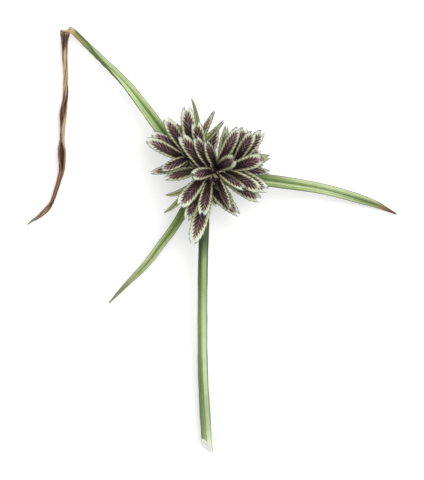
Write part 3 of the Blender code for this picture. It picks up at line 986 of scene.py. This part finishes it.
def spikelet_frame(node):
    """Foot, tip and stalk of a spikelet, its three directions and its width, in millimetres."""
    corners = np.array([v.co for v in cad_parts[node].data.vertices]) / MM
    corners = np.unique(corners.round(4), axis=0)
    along = np.linalg.svd(corners - corners.mean(axis=0))[2][0]
    order = np.argsort((corners - corners.mean(axis=0)) @ along)
    both_ends = (order[:STALK_CORNERS], order[-STALK_CORNERS:])
    ends = [np.linalg.norm(corners[part].mean(axis=0) - HEART) for part in both_ends]
    if ends[0] > ends[1]:
        order = order[::-1]
    stalk = corners[order[:STALK_CORNERS]].mean(axis=0)
    body = corners[order[STALK_CORNERS:]]
    middle = body.mean(axis=0)
    axes = np.linalg.svd(body - middle)[2]
    along = axes[0] * np.sign((body[-1] - middle) @ axes[0])
    wide = axes[1]
    out = np.cross(wide, along)
    if out[2] < 0:
        wide, out = -wide, -out
    reach = (body - middle) @ along
    foot = middle + reach.min() * along
    spread = (body - middle) @ wide
    return foot, stalk, along, wide, out, np.ptp(reach), np.ptp(spread)


example = spikelet_frame("spikelet_lower_4")
print("example spikelet length and width:", round(example[5], 2), round(example[6], 2))

# %% Scales of one spikelet
SCALE_PITCH = 1.15
SCALE_OVERLAP = 3.0
SCALE_STEPS = np.array((0.0, 0.06, 0.14, 0.26, 0.4, 0.54, 0.67, 0.79, 0.89, 0.96, 1.0))
SCALE_SPAN = np.array((1.0, 0.86, 0.64, 0.4, 0.2, 0.07))
BUD_SPANS = (0.8, 0.62, 0.45)
BUD_WIDTHS = (0.95, 0.85, 0.7)
BUD_SHORT = 0.6
SPAN_CHANCE = (0.95, 1.05)
SPIKELET_THICK = 1.1
FULL_WIDTH = 2.8
SCALE_LIFT = 0.2
HOLLOW = ((0.3, 0.55), (0.5, 0.0), (0.3, -0.55))
PAST_KNOB = 0.8
FEWEST_PAIRS = 6
BOW = 0.12
FLARE = 1.04
KEEL_ROOT = 0.07
MARGIN_FROM = 0.32
MARGIN_GAP = 0.04
RISE_SHARE = 0.62


def spikelet_scales(node, seed, young, pointed):
    """Closed bodies of one spikelet's scales, the lowest first, and the values its finish reads.

    Along a scale, u runs from its base to its tip. Across it, v runs from one thin margin over the keel to
    the other, and a few points more make the hollow inside that faces the middle of the spikelet."""
    foot, stalk, along, wide, out, length, width = spikelet_frame(node)
    chance = np.random.default_rng(seed)
    tail = np.linalg.norm(foot - stalk) + PAST_KNOB
    into = unit(stalk - foot)
    pairs = max(FEWEST_PAIRS, round(length / SCALE_PITCH))
    pitch = (length + tail) / (2 * pairs + 2 * SCALE_OVERLAP - 1)
    reach = 2 * SCALE_OVERLAP * pitch
    full = 0.5 * SPIKELET_THICK * min(1.0, width / FULL_WIDTH)
    bow = chance.uniform(-BOW, BOW)
    outline = np.array(BLUNT) + pointed * (np.array(POINTED) - np.array(BLUNT))
    u = SCALE_STEPS[:, None]
    v = np.concatenate([-SCALE_SPAN, [0.0], SCALE_SPAN[::-1]])[None, :]
    deep = np.array([share for share, _ in HOLLOW])[None, :]
    height = np.array([part for _, part in HOLLOW])[None, :]
    bodies = []
    for k in range(2 * pairs + len(BUD_SPANS)):
        side = 1 if k % 2 else -1
        span, slim = reach * chance.uniform(*SPAN_CHANCE), 1.0
        start = -tail + k * pitch
        if k >= 2 * pairs - 2:
            span = reach
        if k >= 2 * pairs:
            span, slim = reach * BUD_SPANS[k - 2 * pairs], BUD_WIDTHS[k - 2 * pairs]
            start = length - BUD_SHORT * pitch - span
        s = start + span * u
        t = np.clip(s / length, 0.0, 1.0)
        half = 0.5 * width * np.interp(t, WIDTH_AT, outline) * slim
        flare = chance.uniform(1.0, FLARE)
        keel = flare * (0.8 * (1 - np.exp(-u / KEEL_ROOT)) + 0.2 * u**2)
        margin = -0.1 + 1.1 * np.clip((u - MARGIN_FROM) / (1 - MARGIN_FROM), 0.0, 1.0)
        margin = np.minimum(margin, keel - MARGIN_GAP)
        rise = full * np.interp(t, DEPTH_AT, DEPTH) * RISE_SHARE + SCALE_LIFT * u * (1 - 0.35 * t)
        rise = rise * np.minimum(1.0, 6 * (1 - u) + 0.12) * slim
        w = np.hstack([keel + (margin - keel) * np.abs(v), margin + (keel - margin) * deep])
        h = np.hstack([np.sign(v) * rise * np.sin(0.5 * pi * np.abs(v)) ** 0.75, rise * height])
        sideways = side * half * w + bow * 4 * t * (1 - t)
        ahead = np.maximum(s, 0.0)[..., None] * along
        behind = np.maximum(-s, 0.0)[..., None] * into
        points = foot + ahead + behind + sideways[..., None] * wide + h[..., None] * out
        broad = half * (keel - margin)
        outside = np.ones((1, v.shape[1]))
        hollow = np.zeros((1, len(HOLLOW)))
        values = {
            "inside": np.hstack([0 * outside, hollow + 1]),
            "to_margin": broad * np.hstack([1 - np.abs(v), hollow]),
            "to_keel": broad * np.hstack([np.abs(v), hollow + 1]),
            "off_axis": np.abs(w) / slim,
            "rise": t,
            "young": young,
            "chance": chance.uniform(0, 1),
        }
        bodies.append((points, values))
    return bodies


print("scales of the example spikelet:", len(spikelet_scales("spikelet_lower_4", 0, 0.0, 0.0)))

# %% [markdown]
# ### Scale finish
#
# The middle of a spikelet is dark purple-brown and its border is pale, cream near the foot and minty at the
# tip. The dark field narrows towards the tip and its edge is feathered, because each scale has a dark
# finger of its own. A thin pinkish line runs along each free margin, and a thin green one along each keel.

# %% Scale finish: its dark and pale colours
bench = new_material("sedge_scales")
rise = bench.stored("rise")
off_axis = bench.stored("off_axis")
to_margin = bench.stored("to_margin")
young = bench.stored("young")
nerve = bench.group(NERVES, "Nerve", Across=off_axis, Count=9.0, Drift=0.8)
# Darkest at the foot: partly the scales' own colour, partly painted shade in the gaps between spikelets.
dark = bench.ramp(
    rise,
    [
        (0.0, paint(30, 22, 20)),
        (0.25, paint(43, 30, 29)),
        (0.5, paint(55, 37, 37)),
        (0.75, paint(84, 57, 56)),
        (1.0, paint(122, 96, 82)),
    ],
)
dark = bench.mix(young, dark, paint(104, 104, 62))
pale = bench.ramp(
    rise,
    [
        (0.0, paint(164, 142, 120)),
        (0.12, paint(202, 186, 154)),
        (0.3, paint(226, 220, 178)),
        (0.6, paint(231, 232, 191)),
        (0.82, paint(230, 241, 210)),
        (1.0, paint(237, 248, 237)),
    ],
)
pale = bench.mix(bench.times(young, 0.8), pale, paint(182, 200, 138))
print("scale nodes so far:", len(bench.tree.nodes))

# %% Scale finish: where it is dark, its veins and its outline
CORE_WIDTH = 0.61
CORE_NARROWS = 0.82
# How much wider the dark field is at the foot, partly painted shade between spikelets.
CORE_AT_FOOT = 0.15
CORE_YOUNG = 0.35
FINGER = (0.05, 0.3, 0.45, 0.8)
FRAY_AT_FOOT, FRAY_MORE = 0.1, 0.26
NERVE_FRAY = 0.1
VEIN_LEAST, VEIN_MORE = 0.05, 0.75

finger = bench.band(to_margin, *FINGER)
core = bench.minus(CORE_WIDTH, bench.times(bench.ease(rise, 0.58, 1.02), CORE_NARROWS))
# Near the foot the dark field widens over the whole scale, partly painted shade between spikelets.
core = bench.plus(core, bench.times(bench.ease(rise, 0.1, 0.0), CORE_AT_FOOT))
core = bench.minus(core, bench.times(young, CORE_YOUNG))
fray = bench.plus(FRAY_AT_FOOT, bench.times(bench.ease(rise, 0.4, 0.9), FRAY_MORE))
core = bench.plus(core, bench.times(finger, fray))
core = bench.plus(core, bench.times(bench.minus(nerve, 0.5), NERVE_FRAY))
is_dark = bench.ease(bench.minus(core, off_axis), -0.12, 0.17)
body = bench.mix(is_dark, pale, dark)
vein = bench.times(bench.ease(to_margin, 0.2, 0.1), bench.ease(rise, 0.22, 0.6))
vein = bench.times(vein, bench.plus(bench.times(bench.stored("chance"), VEIN_MORE), VEIN_LEAST))
body = bench.mix(vein, body, bench.mix(rise, paint(120, 84, 98), paint(222, 196, 196)))
outline = bench.times(bench.ease(bench.stored("to_keel"), 0.19, 0.08), LINE_DARK)
body = bench.mix(outline, body, paint(76, 92, 66))
# The hollow inside each scale is mixed from the dark colour and a deeper brown: painted shade in the
# hollow.
inner = bench.mix(0.5, dark, paint(60, 44, 40))
body = bench.mix(bench.ease(bench.stored("inside"), 0.05, 0.3), body, inner)
colour = bench.group(MOTTLE, "Colour", Colour=body, Size=1200.0, Strength=0.24)
SCALE_FINISH = finished("sedge_scales", colour, nerve, bench, 0.5, 0.00003, 0.15)

# %% [markdown]
# ### All the spikelets
#
# Most spikelets are full grown and blunt, a few are young and greener, and about a quarter end in a point.
# Each one draws its own small chances from its place in the list, so no two are alike.

# %% All the spikelets
YOUNG = dict(upper_8=0.95, right_2=0.8, right_7=0.85, upper_7=0.45, upper_4=0.5, left_2=0.1, left_3=0.15)
WITH_POINTS = "left_1 left_2 left_3 upper_7 upper_8 upper_11 upper_12 right_2 right_7 right_8".split()
WITH_POINTS += "lower_6 lower_7 lower_8".split()
HALF_POINTED = ("right_1", "upper_10")
spikelets = [node for node in sorted(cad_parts) if node.startswith("spikelet_")]
for seed, node in enumerate(spikelets):
    place = node.removeprefix("spikelet_")
    pointed = 1.0 if place in WITH_POINTS else 0.5 * (place in HALF_POINTED)
    bodies = spikelet_scales(node, seed, YOUNG.get(place, 0.0), pointed)
    skin(f"{node}_scales", bodies, SCALE_FINISH, [node])
print("spikelets:", len(spikelets))

# %% [markdown]
# ### Rays
#
# The short branches under the spikelets stay as the packed model made them, with a mottled dark bark. On
# the real head each spikelet stands in the corner of a small dark bract, so the knob of a ray is wrapped in
# bracts and no light comes through between the stalks. They are short scales on all sides of the knob.

# %% Bracts around a knob
KNOB_BRACTS = 32
KNOB_RADIUS = 0.8
BRACT_LENGTH = 2.8
BRACT_HALF = 0.95
BRACT_STEPS = np.linspace(0, 1, 8)
BRACT_AROUND = 10
BRACT_EDGE = 0.03
BRACT_BELLY = 0.12
BRACT_ARCH = 0.3
BRACT_LEANS = (-35, 45)
GOLDEN_TURN = 2.39996
RAY_SEEDS = {"ray_front": 0, "ray_left": 1, "ray_right": 7, "ray_lower": 3}


def knob_bracts(ray, seed):
    """Closed bodies of the small bracts that wrap a ray's knob."""
    corners = np.array([v.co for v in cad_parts[ray].data.vertices]) / MM
    ahead = np.linalg.svd(corners - corners.mean(axis=0))[2][0]
    ahead = ahead * np.sign(ahead[2])
    knob = corners[np.argsort(corners @ ahead)[-5:]].mean(axis=0) - KNOB_RADIUS * ahead
    side = unit(np.cross(ahead, (1.0, 0.0, 0.0)))
    other = np.cross(ahead, side)
    chance = np.random.default_rng(seed)
    u = BRACT_STEPS[:, None]
    v = 2 * pi * np.arange(BRACT_AROUND)[None, :] / BRACT_AROUND
    bodies = []
    for k in range(KNOB_BRACTS):
        turn = k * GOLDEN_TURN
        lean = radians(chance.uniform(*BRACT_LEANS))
        out = cos(lean) * (cos(turn) * side + sin(turn) * other) + sin(lean) * ahead
        wide = unit(np.cross(out, ahead))
        thick = np.cross(wide, out)
        length = BRACT_LENGTH * chance.uniform(0.8, 1.15)
        half = BRACT_HALF * (0.35 + 0.65 * np.sin(pi * u**0.8)) * (1 - u**4) + BRACT_EDGE
        flat = half * np.cos(v)
        arch = BRACT_ARCH * (1 - (flat / BRACT_HALF) ** 2) * u * (1 - u)
        tall = BRACT_BELLY * np.sin(v) * (1.1 - u) + arch
        points = knob + (0.4 * KNOB_RADIUS + length * u)[..., None] * out
        points = points + flat[..., None] * wide + tall[..., None] * thick
        values = {
            "inside": 0.0,
            "to_margin": 1.0,
            "to_keel": 1.0,
            "off_axis": np.abs(flat) / BRACT_HALF,
            "rise": 0.3 * u,
            "young": 0.0,
            "chance": chance.uniform(0, 1),
        }
        bodies.append((points, values))
    return bodies


print("scales around each knob:", KNOB_BRACTS)

# %% Ray finish and the bracts in place
BARK = paint(52, 44, 32)

bench = new_material("ray_bark")
bark = bench.group(MOTTLE, "Colour", Colour=BARK, Size=900.0, Strength=0.4)
patches = bench.group(MOTTLE, "Value", Colour=BARK, Size=900.0, Strength=0.4)
RAY_FINISH = finished("ray_bark", bark, patches, bench, 0.6, 0.00004, 0.15)
for node, seed in RAY_SEEDS.items():
    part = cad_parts[node]
    part.data.materials.clear()
    part.data.materials.append(RAY_FINISH)
    skin(f"{node}_bracts", knob_bracts(node, seed), SCALE_FINISH, [])
print("rays:", list(RAY_SEEDS))

# %% [markdown]
